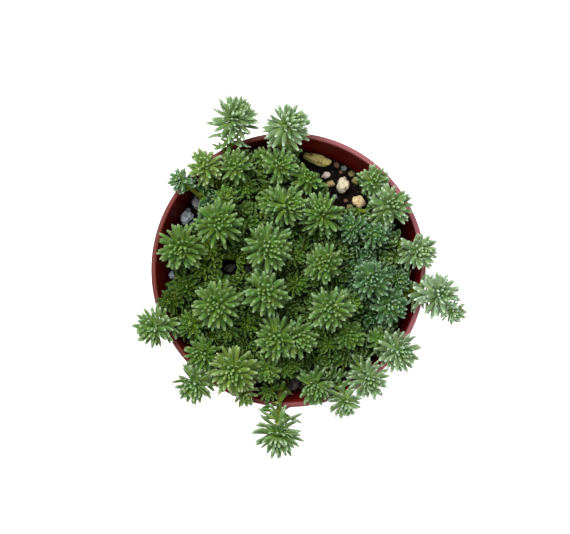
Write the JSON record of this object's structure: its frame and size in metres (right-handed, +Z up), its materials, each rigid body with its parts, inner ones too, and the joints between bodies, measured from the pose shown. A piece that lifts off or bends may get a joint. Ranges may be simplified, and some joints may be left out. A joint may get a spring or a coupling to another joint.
{
  "type": "potted joshua tree",
  "caption": "Miniature Joshua tree, a branching stonecrop with small leaf rosettes on thin leafy stems, growing in gritty soil in a round tapered nursery pot.",
  "frame": {"origin": "middle of the pot's flat underside", "axes": "+Z up through the pot's mouth; +Y is the top of the picture and +X its right"},
  "size_m": [0.1041, 0.113, 0.1023],
  "materials": {
    "pot_plastic": "satin moulded plastic in a dull terracotta red",
    "potting_soil": null,
    "green_leaf": null,
    "blue_green_leaf": null,
    "yellow_green_leaf": null,
    "stone_long_olive": "matte rough pebble",
    "stone_white_north": "matte rough pebble",
    "stone_cream": "matte rough pebble",
    "stone_tan_north": "matte rough pebble",
    "stone_orange": "matte rough pebble",
    "stone_olive_small": "matte rough pebble",
    "stone_slate_west": "matte rough pebble",
    "stone_slate_north_west": "matte rough pebble",
    "stone_white_middle": "matte rough pebble",
    "stone_slate_small": "matte rough pebble",
    "stone_grey_south": "matte rough pebble",
    "stone_rust": "matte rough pebble"
  },
  "bodies": {
    "root": {"pot": "pot_plastic", "soil": "potting_soil", "leafy_stem_01": "green_leaf", "leafy_stem_02": "green_leaf", "leafy_stem_03": "yellow_green_leaf", "leafy_stem_04": "blue_green_leaf", "leafy_stem_05": "green_leaf", "leafy_stem_06": "green_leaf", "leafy_stem_07": "green_leaf", "leafy_stem_08": "green_leaf", "leafy_stem_09": "green_leaf", "leafy_stem_10": "green_leaf", "leafy_stem_11": "green_leaf", "leafy_stem_12": "blue_green_leaf", "leafy_stem_13": "green_leaf", "leafy_stem_14": "green_leaf", "leafy_stem_15": "green_leaf", "leafy_stem_16": "green_leaf", "leafy_stem_17": "green_leaf", "leafy_stem_18": "green_leaf", "leafy_stem_19": "green_leaf", "leafy_stem_20": "green_leaf", "leafy_stem_21": "blue_green_leaf", "leafy_stem_22": "blue_green_leaf", "leafy_stem_23": "green_leaf", "leafy_stem_24": "green_leaf", "leafy_stem_25": "green_leaf", "leafy_stem_26": "green_leaf", "leafy_stem_27": "green_leaf", "leafy_stem_28": "green_leaf", "leafy_stem_29": "green_leaf", "leafy_stem_30": "yellow_green_leaf", "leafy_stem_31": "green_leaf", "leafy_stem_32": "green_leaf", "leafy_stem_33": "green_leaf", "leafy_stem_34": "green_leaf", "leafy_stem_35": "green_leaf", "leafy_stem_36": "green_leaf", "leafy_stem_37": "yellow_green_leaf", "leafy_stem_38": "green_leaf", "stone_long_olive": "stone_long_olive", "stone_white_north": "stone_white_north", "stone_cream": "stone_cream", "stone_tan_north": "stone_tan_north", "stone_orange": "stone_orange", "stone_olive_small": "stone_olive_small", "stone_slate_west": "stone_slate_west", "stone_slate_north_west": "stone_slate_north_west", "stone_white_middle": "stone_white_middle", "stone_slate_small": "stone_slate_small", "stone_grey_south": "stone_grey_south", "stone_rust": "stone_rust"}
  },
  "joints": []
}
